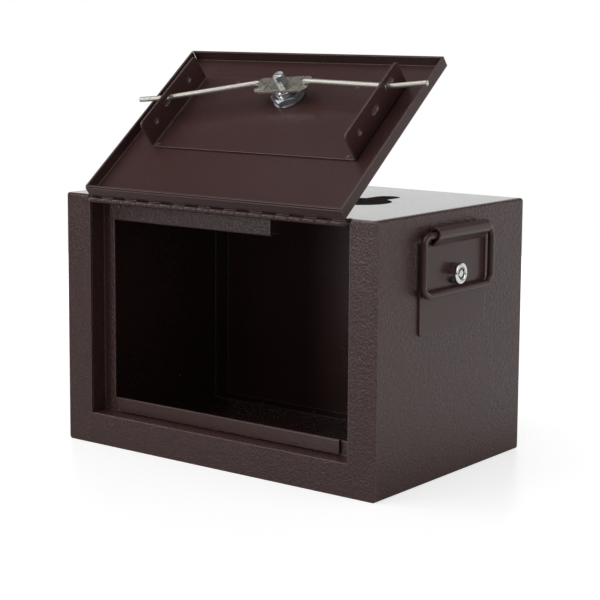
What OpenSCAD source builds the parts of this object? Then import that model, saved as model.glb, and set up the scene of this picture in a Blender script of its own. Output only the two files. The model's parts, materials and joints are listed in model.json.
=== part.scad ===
// Key drop box: a folded steel case with a lift-up lid, two latch rods,
// a keyhole-shaped drop hole in the top, a bail handle and a side lock.
// +X runs right along the front, +Y to the back, +Z up.
// The origin is the centre of the underside.

/* [Case] */
// Width of the case over its sides
case_w = 305; // [260:1:360]
// Depth of the case from front to back
case_d = 200; // [185:1:260]
// Height of the case
case_h = 203; // [195:1:240]
// Thickness of the case sheet
sheet_t = 1.5; // [1.2:0.1:2]
// Outer radius of the folded edges of the case
bend_r = 2.5; // [2.2:0.1:4]
// Width of the folded front face beside and under the opening
face_w = 25; // [20:1:30]
// Width of the open mitre line between folded face flanges
mitre_gap = 0.3; // [0.2:0.1:0.6]
// Width of the relief notches in the front edge of the top
relief_w = 3; // [2:0.5:5]
// Depth of the relief notches
relief_d = 2; // [1:0.5:3]

/* [Lid stops] */
// Distance from the front face to the face of the lid stops
stop_depth = 16; // [15:0.5:22]
// Height of the stop face beside the return leg
stop_w = 11.4; // [9:0.2:14]
// Height of the sill bar on the bottom stop
sill_h = 11; // [8:0.5:14]
// Height of the lower edge of the sill bar above the face flange
sill_rise = 1.5; // [1:0.5:3]
// Gap between each end of the sill bar and the side stop
sill_end_gap = 6; // [3:0.5:12]
// Thickness of the thin sheet of sill bar and apron
thin_t = 1.2; // [1:0.1:1.5]
// Height of the folded hem on sill bar and apron
hem_h = 5; // [3:0.5:7]
// Length of the apron under the top, from the left stop
apron_l = 159; // [100:1:200]
// Height of the apron
apron_h = 20; // [14:1:24]
// Depth of the end and top folds of the apron
apron_fold = 11; // [7:1:15]

/* [Back panel] */
// Depth of the folded rim of the back panel
back_rim = 18.5; // [12:0.5:24]
// Clearance between the back panel and the case
back_fit = 0.15; // [0.1:0.05:0.3]

/* [Drop hole] */
// Radius of the round part of the drop hole
drop_r = 25.5; // [18:0.5:30]
// Distance of the drop hole from the right side
drop_side = 85; // [60:1:110]
// Distance of the centre of the drop hole from the front
drop_depth = 96; // [80:1:110]
// Width of the slot behind the round part
drop_slot_w = 20; // [10:1:26]
// Distance from the centre of the round part to the centre of the slot end
drop_slot_l = 38.4; // [30:0.2:50]

/* [Hinge] */
// Distance of the hinge pin in front of the face
hinge_out = 1.3; // [1.3:0.1:2]
// Outer diameter of the hinge knuckles
knuckle_d = 4.6; // [4:0.2:6]
// Diameter of the hinge pin
pin_d = 2.2; // [1.6:0.1:2.4]
// Number of knuckles on the hinge
knuckle_n = 20; // [12:2:26]
// Gap between neighbouring knuckles
knuckle_gap = 0.3; // [0.2:0.05:0.6]
// Gap between each end of the hinge and the lid's end
hinge_end_gap = 0.25; // [0:0.25:6]
// Thickness of the hinge leaves
leaf_t = 1; // [0.8:0.1:1.2]
// Width of the hinge leaf under the top
leaf_w = 14; // [10:1:15]
// Gap between the hinge and the underside of the top
hinge_seat = 0.2; // [0.1:0.05:0.4]
// Gap between a knuckle and the leaf of the other half
knuckle_clear = 0.4; // [0.3:0.1:0.6]

/* [Lid] */
// Length of the lid from the hinged edge to the free edge
lid_l = 167; // [160:1:168]
// Depth of the folded rim of the lid
lid_rim = 10; // [8:0.5:11]
// Gap between the lid and the opening at each side
lid_side_gap = 2; // [1:0.5:4]
// Outer radius of the folded edges of the lid
lid_bend_r = 2; // [1.8:0.1:3]
// Tilt of the open lid above the level
lid_open_angle = 39; // [35:1:45]
// Gap between the open lid and the top's front edge
lid_rest_gap = 0.15; // [0.1:0.05:0.3]

/* [Latch bracket] */
// Shift of bracket, lid lock and latch from the lid's centre to the right
latch_shift = 2.2; // [-4:0.1:4]
// Width of the latch bracket over its flanges
bracket_w = 201.5; // [190:0.5:206]
// Length of the latch bracket along the lid
bracket_l = 85; // [75:1:90]
// Distance from the lid's hinged edge to the bracket
bracket_start = 57; // [50:1:62]
// Height of the bracket flanges above the lid's outer face
bracket_rise = 26.5; // [24:0.5:30]
// Corner radius of the bracket flanges
bracket_corner_r = 4; // [2:0.5:6]
// Diameter of the spare holes in the flanges
spare_hole_d = 5; // [4:0.5:6]
// Distance from the bracket's end to the lower spare hole
spare_low = 16; // [12:1:20]
// Distance from the bracket's end to the upper spare hole
spare_high = 67; // [62:1:72]
// Distance from the bracket's end to the spare slot on the right
spare_slot = 41; // [36:1:46]
// Height of the spare holes above the lid's outer face
spare_rise = 16; // [14:0.5:18]

/* [Lid lock and latch] */
// Distance from the lid's hinged edge to the lock axis
lock_s = 121.5; // [115:0.5:125]
// Diameter of the threaded lock barrel
barrel_d = 18.8; // [16:0.2:20]
// Clearance between a lock barrel and what it passes through
barrel_fit = 0.15; // [0.1:0.05:0.3]
// Diameter of the lock's outer head
head_d = 22; // [21:0.5:26]
// Thickness of the lock's outer head
head_t = 3.2; // [2:0.2:4]
// Height of the barrel's inner end above the lid's outer face
barrel_rise = 14.9; // [14.8:0.1:16]
// Size of the lock nut across its flats
nut_af = 24; // [22:0.5:27]
// Thickness of the lock nut
nut_t = 6.5; // [4:0.5:7]
// Extra diameter of the flange under the lock nut
nut_flange = 2; // [1:0.5:4]
// Thickness of the flange under the lock nut
nut_flange_t = 1.2; // [0.8:0.1:1.6]
// Diameter of the turning plugs
plug_d = 9.7; // [8:0.1:10.5]
// Clearance round the turning plugs
plug_fit = 0.15; // [0.1:0.05:0.3]
// Depth of a plug's outer face below the rim of its barrel
plug_sink = 0.5; // [0.3:0.1:0.8]
// Wall between the edge of a plug and its ring-shaped keyway
keyway_wall = 0.8; // [0.6:0.1:1]
// Width of the ring-shaped keyway
keyway_w = 1.2; // [1:0.1:1.6]
// Depth of the ring-shaped keyway
keyway_depth = 4; // [2:0.5:6]
// Height of the bevel round the outer face of a lock
lock_bevel = 0.8; // [0.5:0.1:1]
// Side of the square tang of the lid lock plug
tang = 6.6; // [5.6:0.2:6.8]
// Height of the tang above the cam
tang_rise = 5; // [3:0.5:6]
// Gap between a lock barrel's inner end and its cam
cam_gap = 0.2; // [0.1:0.05:0.4]
// Thickness of the cam plate
cam_t = 2; // [1.5:0.1:2.5]
// Width of the cam plate
cam_w = 17; // [14:0.5:20]
// Distance from the cam centre to each rod hole
cam_r = 20; // [18:0.5:21]
// Distance from each rod hole to the end of the cam
cam_end = 5; // [4:0.5:7]
// Turn of the cam from the hinge line with the latch thrown
cam_tilt = 6; // [0:1:10]
// Diameter of the screw that holds a cam
cam_screw_d = 5; // [4:0.5:5]
// Size of the cam screw head across its flats
cam_head_af = 8; // [7:0.5:10]
// Thickness of the cam screw head
cam_head_t = 3.6; // [2.5:0.1:5]
// Length of a cam screw inside its plug
screw_grip = 3.5; // [3:0.5:5]
// Width of the slot in the cam screw head
screw_slot_w = 1.2; // [1:0.1:1.6]
// Depth of the slot in the cam screw head
screw_slot_d = 1; // [0.8:0.1:1.6]
// Thickness of the spring washer under the head
washer_t = 1; // [0.8:0.1:1.4]
// Extra diameter of the spring washer beyond the head's flats
washer_w = 1; // [0.5:0.5:2]

/* [Rods] */
// Diameter of the latch rods
rod_d = 4.2; // [3.8:0.1:4.8]
// Clearance between a rod and its slots and holes
rod_fit = 0.25; // [0.2:0.05:0.5]
// Reach of the left rod's tip from the bracket's centre
left_reach = 129.6; // [128:0.2:132]
// Reach of the right rod's tip from the bracket's centre
right_reach = 133.8; // [130:0.2:136]
// Length of the rod's foot in and below the cam
rod_foot = 4; // [3:0.5:5]
// Gap between a rod and the cam under it
rod_gap = 0.1; // [0.1:0.05:0.3]
// Swelling of a rod's diameter at its bends and in its foot
rod_swell = 0.2; // [0.1:0.05:0.3]
// Distance of a rod's kink outside its bracket flange
kink_out = 3.5; // [3:0.5:6]
// Place of the left kink along the lid
left_kink_s = 97; // [95:0.5:99]
// Place of the left tip along the lid
left_tip_s = 93.4; // [92:0.2:96]
// Place of the right kink along the lid
right_kink_s = 121; // [119:0.5:122]
// Place of the right tip along the lid
right_tip_s = 126; // [124:0.2:127]
// Place of the left guide slot along the lid
left_slot_s = 94.5; // [93:0.1:97]
// Place of the right guide slot along the lid
right_slot_s = 123.7; // [122:0.1:125]
// Sideways travel of a rod in its guide slot
slot_travel = 8.4; // [8:0.1:9]

/* [Handle and side lock] */
// Width of the handle plate
plate_w = 91; // [80:1:110]
// Distance of the plate's centre from the front
plate_depth = 97; // [90:1:104]
// Height of the plate's lower edge above the base
plate_low = 113.5; // [100:0.5:120]
// Thickness of the handle plate
plate_t = 1.5; // [1.2:0.1:2]
// Corner radius of the plate's lower corners
plate_corner_r = 3; // [2:0.5:6]
// Height of the centre of the rolled edge
curl_z = 187.9; // [180:0.1:190]
// Inner diameter of the rolled edge
curl_d = 7.2; // [6.4:0.1:8]
// Length of the rolled edge
curl_l = 71; // [60:1:71]
// Shift of the rolled edge from the plate's centre towards the back
curl_shift = 3; // [-3:0.5:3]
// Drop of the plate's shoulders below the centre of the rolled edge
shoulder_drop = 6; // [6:0.5:10]
// Diameter of the bail wire
wire_d = 5.2; // [4.5:0.1:5.4]
// Gap between the bail wire and the rolled edge under it
wire_seat = 0.3; // [0.2:0.05:0.5]
// Width of the bail between its wire centres
bail_w = 93.8; // [88:0.2:100]
// Drop of the bail between its wire centres
bail_drop = 44; // [42:0.5:50]
// Bend radius of the bail at the wire centre
bail_r = 8; // [6:0.5:12]
// Height of the side lock above the base
side_lock_z = 155.7; // [154:0.1:158]
// Diameter of the side lock's outer barrel
side_barrel_d = 16; // [14:0.5:17]
// Reach of the side lock beyond the case side
side_reach = 8.6; // [6:0.2:12]
// Diameter of the side lock's threaded neck
side_neck_d = 14.6; // [12:0.2:15]
// Reach of the side lock inside the case side
side_inner = 12; // [10:0.5:16]
// Size of the side lock nut across its flats
side_nut_af = 19; // [18:0.5:22]
// Thickness of the side lock nut
side_nut_t = 4; // [3:0.5:5]
// Length of the side lock cam from its axis
side_cam_l = 28; // [20:1:34]
// Width of the side lock cam
side_cam_w = 13; // [10:0.5:16]

/* [Hidden] */
$fn = 48;

paint = [0.27, 0.20, 0.19];
paint_inner = [0.24, 0.17, 0.16];
nickel = [0.72, 0.70, 0.64];
zinc = [0.62, 0.64, 0.66];
chrome = [0.80, 0.80, 0.80];

// Overrun of a cut beyond the face that it opens
over = 1;
// Play on the diameter of the hinge pin and of a screw in its thread
pin_play = 0.1;
// Play on the diameter of a lock nut on its barrel
nut_play = 0.2;
// Play on the size of a cam's square hole
tang_play = 0.2;
// Play on the diameter of a screw through a washer or cam
screw_play = 0.4;
// Space behind the tip of a cam screw
screw_tip_gap = 0.5;
// Extra corner radius of the back panel inside the case's own
back_corner = 0.5;

// Case
front_y = -case_d / 2;
side_x = case_w / 2;
inner_w = case_w - 2 * sheet_t;
inner_h = case_h - 2 * sheet_t;
top_under = case_h - sheet_t;
open_x = side_x - face_w;
stop_y = front_y + stop_depth;
stop_inner_x = open_x - stop_w;
drop_x = side_x - drop_side;
drop_y = front_y + drop_depth;
mitre_l = face_w * sqrt(2) - 2 * sheet_t;

// Hinge and lid, in the lid's own frame: x along the hinge, y along the lid, z off its outer face
knuckle_r = knuckle_d / 2;
hinge_y = front_y - hinge_out;
hinge_z = top_under - hinge_seat - knuckle_r;
lid_w = 2 * (open_x - lid_side_gap);
edge_rise = case_h - hinge_z;
edge_y = hinge_out * cos(lid_open_angle) + edge_rise * sin(lid_open_angle);
edge_z = edge_rise * cos(lid_open_angle) - hinge_out * sin(lid_open_angle);
lid_start = knuckle_r;
rest_r = lid_bend_r + lid_rest_gap;
corner_run = max(0, lid_start + lid_bend_r - edge_y);
lid_face = edge_z - lid_bend_r + sqrt(max(0, pow(rest_r, 2) - pow(corner_run, 2)));
hinge_l = lid_w - 2 * hinge_end_gap;
knuckle_pitch = hinge_l / knuckle_n;

// Latch
bracket_y = lid_start + bracket_start;
bracket_z = lid_face + sheet_t;
flange_x = bracket_w / 2 - sheet_t;
lock_y = lid_start + lock_s;
cam_z = lid_face + barrel_rise + cam_gap;
hook_r = rod_d / 2 + rod_gap;
bend_half = (rod_d + rod_swell) / 2;
rod_z = cam_z + cam_t + hook_r;
tang_top = cam_z + cam_t + tang_rise;
slot_w = rod_d + 2 * rod_fit;
slot_l = slot_w + slot_travel;
left_hook = [-cam_r * cos(cam_tilt), lock_y - cam_r * sin(cam_tilt)];
right_hook = [cam_r * cos(cam_tilt), lock_y + cam_r * sin(cam_tilt)];
kink_x = bracket_w / 2 + kink_out;
plug_bore = plug_d + 2 * plug_fit;

// Handle and side lock
plate_y = front_y + plate_depth;
curl_r = curl_d / 2;
curl_x = side_x + curl_r + plate_t;
wire_r = wire_d / 2;
wire_z = curl_z - (curl_r - wire_r - wire_seat);
side_plate_x = side_x + plate_t;
side_hole_d = side_neck_d + 2 * barrel_fit;
side_back_x = side_x - side_inner;

module rounded_rect(w, h, r) {
    translate([-w / 2 + r, 0]) square([w - 2 * r, h]);
    translate([-w / 2, r]) square([w, h - 2 * r]);
    for (x = [-w / 2 + r, w / 2 - r], y = [r, h - r]) translate([x, y]) circle(r);
}

// Extrude an x-z outline backwards from the front plane y
module along_y(y, depth) {
    translate([0, y + depth, 0]) rotate([90, 0, 0]) linear_extrude(depth) children();
}

// Extrude a y-z outline along x, centred
module along_x(x0, length) {
    translate([x0, 0, 0]) rotate([90, 0, 90]) linear_extrude(length) children();
}

// The waste outside a rounded edge of radius r whose corner is at the origin
module edge_waste(r) {
    difference() {
        translate([-over, -over]) square([r + over, r + over]);
        translate([r, r]) circle(r);
    }
}

// Angle section with its bend at the origin, legs along +x and +y
module angle_section(a, b, t, r) {
    translate([r, 0]) square([a - r, t]);
    translate([0, r]) square([t, b - r]);
    intersection() {
        square([r, r]);
        translate([r, r]) difference() {
            circle(r);
            circle(r - t);
        }
    }
}

module slot_outline(length, width) {
    square([length - width, width], center = true);
    for (side = [-1, 1]) translate([side * (length - width) / 2, 0]) circle(d = width);
}

module hexagon(af) {
    circle(d = af / cos(30), $fn = 6);
}

// Case

module case_section() {
    difference() {
        rounded_rect(case_w, case_h, bend_r);
        translate([0, sheet_t]) rounded_rect(inner_w, inner_h, bend_r - sheet_t);
    }
}

module drop_outline() {
    circle(drop_r, $fn = 96);
    translate([-drop_slot_w / 2, 0]) square([drop_slot_w, drop_slot_l]);
    translate([0, drop_slot_l]) circle(d = drop_slot_w);
}

module face_section() {
    intersection() {
        rounded_rect(case_w, case_h, bend_r);
        difference() {
            translate([-side_x, 0]) square([case_w, case_h]);
            translate([-open_x, face_w]) square([2 * open_x, case_h]);
        }
    }
}

module folded_case() {
    difference() {
        union() {
            along_y(front_y, case_d) case_section();
            along_y(front_y, sheet_t) face_section();
        }
        // Rounded folds round the front face
        for (side = [-1, 1])
            translate([side * side_x, front_y, -over])
                mirror([side > 0 ? 1 : 0, 0, 0])
                    linear_extrude(case_h + 2 * over) edge_waste(bend_r);
        translate([-side_x - over, front_y, 0]) rotate([90, 0, 90])
            linear_extrude(case_w + 2 * over) edge_waste(bend_r);
        // Mitre lines at the lower corners of the face
        for (side = [-1, 1])
            translate([side * open_x, front_y - over, face_w]) rotate([0, side * 45, 0])
                translate([-mitre_gap / 2, 0, -mitre_l])
                    cube([mitre_gap, sheet_t + over, mitre_l + over]);
        // Relief notches where the top meets the side faces
        for (side = [-1, 1])
            translate([side * open_x - relief_w / 2, front_y - over, top_under - over])
                cube([relief_w, relief_d + over, sheet_t + 2 * over]);
        translate([drop_x, drop_y, top_under - over])
            linear_extrude(sheet_t + 2 * over) drop_outline();
        translate([side_x - sheet_t - over, plate_y, side_lock_z]) rotate([0, 90, 0])
            cylinder(d = side_hole_d, h = sheet_t + 2 * over);
    }
}

// Space of the flat top, between its side folds
module top_space() {
    half = side_x - bend_r - sheet_t;
    translate([-half, front_y - over, top_under])
        cube([2 * half, case_d + 2 * over, sheet_t + over]);
}

module case_wrap() {
    color(paint) difference() {
        folded_case();
        top_space();
    }
}

module top_sheet() {
    color(paint) intersection() {
        folded_case();
        top_space();
    }
}

// Return leg and stop face of one lid stop; x runs into the opening, y runs back
module stop_section() {
    translate([-sheet_t, stop_y + sheet_t])
        mirror([0, 1])
            angle_section(stop_w + sheet_t, stop_depth, sheet_t, bend_r);
}

// Half plane that ends an angle along its 45 degree mitre at the lower left corner
module mitre_keep(above) {
    span = case_w + case_h;
    along_y(front_y, case_d)
        translate([-open_x, face_w]) rotate(45)
            translate([-span / 2, above ? mitre_gap / 2 : -span - mitre_gap / 2])
                square([span, span]);
}

module left_stop() {
    intersection() {
        translate([-open_x, 0, 0])
            linear_extrude(top_under) stop_section();
        mitre_keep(true);
    }
}

module left_stop_angle() {
    color(paint_inner) left_stop();
}

module right_stop_angle() {
    color(paint_inner) mirror([1, 0, 0]) left_stop();
}

module bottom_stop_angle() {
    color(paint_inner) intersection() {
        translate([-side_x, 0, face_w]) rotate([90, 0, 90])
            linear_extrude(case_w) mirror([1, -1]) stop_section();
        mitre_keep(false);
        mirror([1, 0, 0]) mitre_keep(false);
    }
}

module sill_bar() {
    half = stop_inner_x - sill_end_gap;
    low = face_w + sill_rise;
    color(paint_inner) along_x(-half, 2 * half) {
        translate([stop_y - 2 * thin_t, low]) square([thin_t, sill_h - thin_t]);
        translate([stop_y - thin_t, low + sill_h - hem_h]) square([thin_t, hem_h - thin_t]);
        intersection() {
            translate([stop_y - thin_t, low + sill_h - thin_t]) circle(thin_t);
            translate([stop_y - 2 * thin_t, low + sill_h - thin_t]) square([2 * thin_t, thin_t]);
        }
    }
}

module top_apron() {
    x0 = -stop_inner_x + mitre_gap;
    low = top_under - apron_h;
    color(paint_inner) {
        along_x(x0, apron_l) {
            translate([stop_y, low + thin_t]) square([thin_t, apron_h - thin_t]);
            translate([stop_y + thin_t, low + thin_t]) square([thin_t, hem_h - thin_t]);
            translate([stop_y, top_under - thin_t]) square([apron_fold, thin_t]);
            intersection() {
                translate([stop_y + thin_t, low + thin_t]) circle(thin_t);
                translate([stop_y, low]) square([2 * thin_t, thin_t]);
            }
        }
        translate([x0 + apron_l - thin_t, stop_y, low + thin_t])
            cube([thin_t, apron_fold, apron_h - thin_t]);
    }
}

module back_panel() {
    w = inner_w - 2 * back_fit;
    h = inner_h - 2 * back_fit;
    r = bend_r - sheet_t + back_corner;
    color(paint_inner) difference() {
        along_y(-front_y - back_rim, back_rim)
            translate([0, sheet_t + back_fit]) rounded_rect(w, h, r);
        along_y(-front_y - back_rim - over, back_rim - sheet_t + over)
            translate([0, 2 * sheet_t + back_fit])
                rounded_rect(w - 2 * sheet_t, h - 2 * sheet_t, r);
    }
}

// Hinge, in the lid's frame turned by angle about the pin

module at_hinge(angle) {
    translate([0, hinge_y, hinge_z]) rotate([angle, 0, 0]) children();
}

module knuckle(i) {
    x0 = -hinge_l / 2 + i * knuckle_pitch + knuckle_gap / 2;
    translate([x0, 0, 0]) rotate([0, 90, 0])
        cylinder(r = knuckle_r, h = knuckle_pitch - knuckle_gap);
}

// Leaf with its own row of knuckles; first says which knuckle it starts with
module hinge_leaf(first, width) {
    notch_r = knuckle_r + knuckle_clear;
    difference() {
        union() {
            translate([-hinge_l / 2, notch_r, knuckle_r - leaf_t])
                cube([hinge_l, width - notch_r, leaf_t]);
            for (i = [first:2:knuckle_n - 1]) {
                knuckle(i);
                translate([-hinge_l / 2 + i * knuckle_pitch + knuckle_gap / 2, 0, knuckle_r - leaf_t])
                    cube([knuckle_pitch - knuckle_gap, notch_r + over, leaf_t]);
            }
        }
        translate([-hinge_l / 2 - over, 0, 0]) rotate([0, 90, 0])
            cylinder(d = pin_d + pin_play, h = hinge_l + 2 * over);
    }
}

module hinge_case_leaf() {
    color(paint) at_hinge(0) hinge_leaf(0, leaf_w);
}

module hinge_lid_leaf() {
    width = lid_face + lid_rim - leaf_t;
    color(paint) at_hinge(lid_open_angle) rotate([90, 0, 0]) mirror([0, 0, 1]) hinge_leaf(1, width);
}

module hinge_pin() {
    color(nickel) at_hinge(0) translate([-hinge_l / 2, 0, 0]) rotate([0, 90, 0])
        cylinder(d = pin_d, h = hinge_l);
}

// Lid

module in_lid() {
    at_hinge(lid_open_angle) children();
}

module lid_pan() {
    color(paint) in_lid() translate([0, lid_start, lid_face]) difference() {
        translate([-lid_w / 2, 0, 0]) cube([lid_w, lid_l, lid_rim]);
        translate([-lid_w / 2 + sheet_t, sheet_t, sheet_t])
            cube([lid_w - 2 * sheet_t, lid_l - 2 * sheet_t, lid_rim]);
        for (side = [0, 1])
            mirror([side, 0, 0]) along_y(-over, lid_l + 2 * over)
                translate([-lid_w / 2, 0]) edge_waste(lid_bend_r);
        for (end = [0, 1])
            translate([-lid_w / 2 - over, end * lid_l, 0]) mirror([0, end, 0]) rotate([90, 0, 90])
                linear_extrude(lid_w + 2 * over) edge_waste(lid_bend_r);
        // Open mitres at the four corners of the rim
        for (side = [-1, 1], end = [0, 1])
            translate([side * lid_w / 2, end * lid_l, lid_bend_r])
                rotate(side * (end == 0 ? 45 : -45) + (side > 0 ? 90 : -90))
                    translate([-over, -mitre_gap / 2, 0])
                        cube([lid_bend_r + 2 * over, mitre_gap, lid_rim]);
        translate([latch_shift, lock_s, -over])
            cylinder(d = barrel_d + 2 * barrel_fit, h = sheet_t + 2 * over);
    }
}

// Outline of one bracket flange; x runs along the lid, y off its face
module flange_outline() {
    rise = bracket_rise - sheet_t;
    square([bracket_l, rise - bracket_corner_r]);
    translate([bracket_corner_r, 0]) square([bracket_l - 2 * bracket_corner_r, rise]);
    for (x = [bracket_corner_r, bracket_l - bracket_corner_r])
        translate([x, rise - bracket_corner_r]) circle(bracket_corner_r);
}

module flange_holes(side) {
    low = spare_rise - sheet_t;
    guide = rod_z - bracket_z;
    guide_s = (side < 0 ? left_slot_s : right_slot_s) - bracket_start;
    translate([spare_low, low]) circle(d = spare_hole_d);
    translate([guide_s, guide]) slot_outline(slot_l, slot_w);
    if (side < 0) translate([spare_high, low]) circle(d = spare_hole_d);
    if (side > 0) translate([spare_slot, low]) slot_outline(spare_hole_d * 2, spare_hole_d);
}

module latch_bracket() {
    color(paint_inner) in_lid() translate([latch_shift, bracket_y, bracket_z]) difference() {
        union() {
            translate([-bracket_w / 2 + bend_r, 0, 0]) cube([bracket_w - 2 * bend_r, bracket_l, sheet_t]);
            for (side = [-1, 1]) bracket_flange(side);
        }
        translate([0, lock_s - bracket_start, -over])
            cylinder(d = barrel_d + 2 * barrel_fit, h = sheet_t + 2 * over);
    }
}

module bracket_flange(side) {
    mirror([side > 0 ? 1 : 0, 0, 0]) translate([-bracket_w / 2, 0, 0]) {
        rotate([90, 0, 90]) linear_extrude(sheet_t) difference() {
            intersection() {
                flange_outline();
                translate([0, bend_r]) square([bracket_l, bracket_rise]);
            }
            flange_holes(side);
        }
        translate([0, bracket_l, 0]) rotate([90, 0, 0]) linear_extrude(bracket_l) intersection() {
            square([bend_r, bend_r]);
            translate([bend_r, bend_r]) difference() {
                circle(bend_r);
                circle(bend_r - sheet_t);
            }
        }
    }
}

// Lid lock and latch, round the lock axis

module at_lock() {
    in_lid() translate([latch_shift, lock_y, 0]) children();
}

module lid_lock_barrel() {
    bottom = lid_face - head_t;
    color(chrome) at_lock() difference() {
        union() {
            translate([0, 0, bottom]) cylinder(d1 = head_d - 2 * lock_bevel, d2 = head_d, h = lock_bevel);
            translate([0, 0, bottom + lock_bevel]) cylinder(d = head_d, h = head_t - lock_bevel);
            translate([0, 0, lid_face]) cylinder(d = barrel_d, h = barrel_rise);
        }
        translate([0, 0, bottom - over]) cylinder(d = plug_bore, h = head_t + barrel_rise + 2 * over);
    }
}

module lid_lock_nut() {
    bottom = bracket_z + sheet_t;
    color(zinc) at_lock() translate([0, 0, bottom]) difference() {
        union() {
            cylinder(d = nut_af + nut_flange, h = nut_flange_t);
            translate([0, 0, nut_flange_t]) linear_extrude(nut_t - nut_flange_t) hexagon(nut_af);
        }
        translate([0, 0, -over]) cylinder(d = barrel_d + nut_play, h = nut_t + 2 * over);
    }
}

// Ring-shaped keyway, cut upwards from the outer face of a plug
module keyway() {
    ring_d = plug_d - 2 * keyway_wall;
    translate([0, 0, -over]) difference() {
        cylinder(d = ring_d, h = keyway_depth + over);
        cylinder(d = ring_d - 2 * keyway_w, h = keyway_depth + over);
    }
}

module lid_lock_plug() {
    bottom = lid_face - head_t + plug_sink;
    hole_z = cam_z - screw_grip - screw_tip_gap;
    color(chrome) at_lock() difference() {
        union() {
            translate([0, 0, bottom]) cylinder(d = plug_d, h = cam_z - bottom);
            rotate(cam_tilt) translate([-tang / 2, -tang / 2, cam_z])
                cube([tang, tang, tang_top - cam_z]);
        }
        translate([0, 0, bottom]) keyway();
        translate([0, 0, hole_z]) cylinder(d = cam_screw_d + pin_play, h = tang_top);
    }
}

module rounded_bar(w, h, r) {
    square([w - 2 * r, h], center = true);
    square([w, h - 2 * r], center = true);
    for (x = [-w / 2 + r, w / 2 - r], y = [-h / 2 + r, h / 2 - r]) translate([x, y]) circle(r);
}

module latch_cam() {
    color(nickel) at_lock() translate([0, 0, cam_z]) rotate(cam_tilt)
        linear_extrude(cam_t) difference() {
            rounded_bar(2 * (cam_r + cam_end), cam_w, cam_end);
            for (side = [-1, 1]) translate([side * cam_r, 0]) circle(d = rod_d + 2 * rod_fit);
            square([tang + tang_play, tang + tang_play], center = true);
        }
}

module latch_cam_washer() {
    color(zinc) at_lock() translate([0, 0, tang_top]) difference() {
        cylinder(d = cam_head_af + washer_w, h = washer_t);
        translate([0, 0, -over]) cylinder(d = cam_screw_d + screw_play, h = washer_t + 2 * over);
    }
}

module latch_cam_screw() {
    seat = tang_top + washer_t;
    color(zinc) at_lock() {
        translate([0, 0, seat]) difference() {
            linear_extrude(cam_head_t) hexagon(cam_head_af);
            translate([-cam_head_af, -screw_slot_w / 2, cam_head_t - screw_slot_d])
                cube([2 * cam_head_af, screw_slot_w, screw_slot_d + over]);
        }
        translate([0, 0, cam_z - screw_grip]) cylinder(d = cam_screw_d, h = seat - cam_z + screw_grip);
    }
}

// Straight wire between two points of the rods' plane
module wire(a, b) {
    run = b - a;
    translate([a[0], a[1], 0]) rotate(atan2(run[1], run[0])) rotate([0, 90, 0])
        cylinder(d = rod_d, h = norm(run));
}

// Upright round piece at a bend of a rod, a little wider than the rod
module rod_bend(p, below) {
    translate([p[0], p[1], -below]) rotate(90)
        cylinder(r = bend_half, h = below + bend_half);
}

// Rod in its own plane, with a foot down through the cam
module rod(hook, kink, tip) {
    color(nickel) in_lid() translate([latch_shift, 0, rod_z]) {
        wire(hook, kink);
        wire(kink, tip);
        rod_bend(kink, bend_half);
        rod_bend(hook, hook_r + rod_foot);
    }
}

module left_rod() {
    rod(left_hook, [-kink_x, lid_start + left_kink_s], [-left_reach, lid_start + left_tip_s]);
}

module right_rod() {
    rod(right_hook, [kink_x, lid_start + right_kink_s], [right_reach, lid_start + right_tip_s]);
}

// Handle plate and bail

// Section of the plate with its rolled edge; x runs outwards from the side, y up
module curl_section() {
    mid_r = curl_r + plate_t / 2;
    outer_r = curl_r + plate_t;
    lip_l = (mid_r * cos(45) + mid_r - plate_t / 2) / cos(45);
    square([plate_t, curl_z - plate_low]);
    translate([outer_r, curl_z - plate_low]) {
        difference() {
            circle(outer_r);
            circle(curl_r);
            polygon([[0, 0], [-2 * outer_r, 0], [-2 * outer_r, -3 * outer_r], [3 * outer_r, -3 * outer_r]]);
        }
        translate([mid_r * cos(45), -mid_r * sin(45)]) rotate(-135)
            translate([0, -plate_t / 2]) square([lip_l - plate_t, plate_t]);
    }
}

module handle_plate() {
    plate_top = curl_z - shoulder_drop;
    color(paint) difference() {
        translate([side_x, plate_y, 0]) {
            translate([0, 0, plate_low]) rotate([90, 0, 90]) linear_extrude(plate_t) {
                translate([-plate_w / 2, plate_corner_r])
                    square([plate_w, plate_top - plate_low - plate_corner_r]);
                translate([-plate_w / 2 + plate_corner_r, 0])
                    square([plate_w - 2 * plate_corner_r, plate_top - plate_low]);
                for (side = [-1, 1])
                    translate([side * (plate_w / 2 - plate_corner_r), plate_corner_r])
                        circle(plate_corner_r);
            }
            translate([0, curl_shift + curl_l / 2, plate_low]) rotate([90, 0, 0])
                linear_extrude(curl_l) curl_section();
        }
        translate([side_x - over, plate_y, side_lock_z]) rotate([0, 90, 0])
            cylinder(d = side_hole_d, h = plate_t + 2 * over);
    }
}

module bail_handle() {
    run_y = bail_w / 2 - bail_r;
    run_z = bail_drop - 2 * bail_r;
    color(paint) translate([curl_x, plate_y, wire_z]) {
        for (z = [0, -bail_drop])
            translate([0, -run_y, z]) rotate([-90, 0, 0]) cylinder(d = wire_d, h = 2 * run_y);
        for (side = [-1, 1])
            translate([0, side * bail_w / 2, -bail_drop + bail_r]) cylinder(d = wire_d, h = run_z);
        for (side = [-1, 1], end = [0, 1])
            translate([0, side * run_y, end == 0 ? -bail_r : -bail_drop + bail_r])
                mirror([0, side > 0 ? 0 : 1, 0]) mirror([0, 0, end])
                    rotate([90, 0, 90]) rotate_extrude(angle = 90, $fn = 64)
                        translate([bail_r, 0]) circle(d = wire_d);
    }
}

// Side lock, round its axis; x runs outwards

module at_side_lock() {
    translate([0, plate_y, side_lock_z]) children();
}

module along_axis(x, h, d) {
    translate([x, 0, 0]) rotate([0, 90, 0]) cylinder(d = d, h = h);
}

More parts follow.
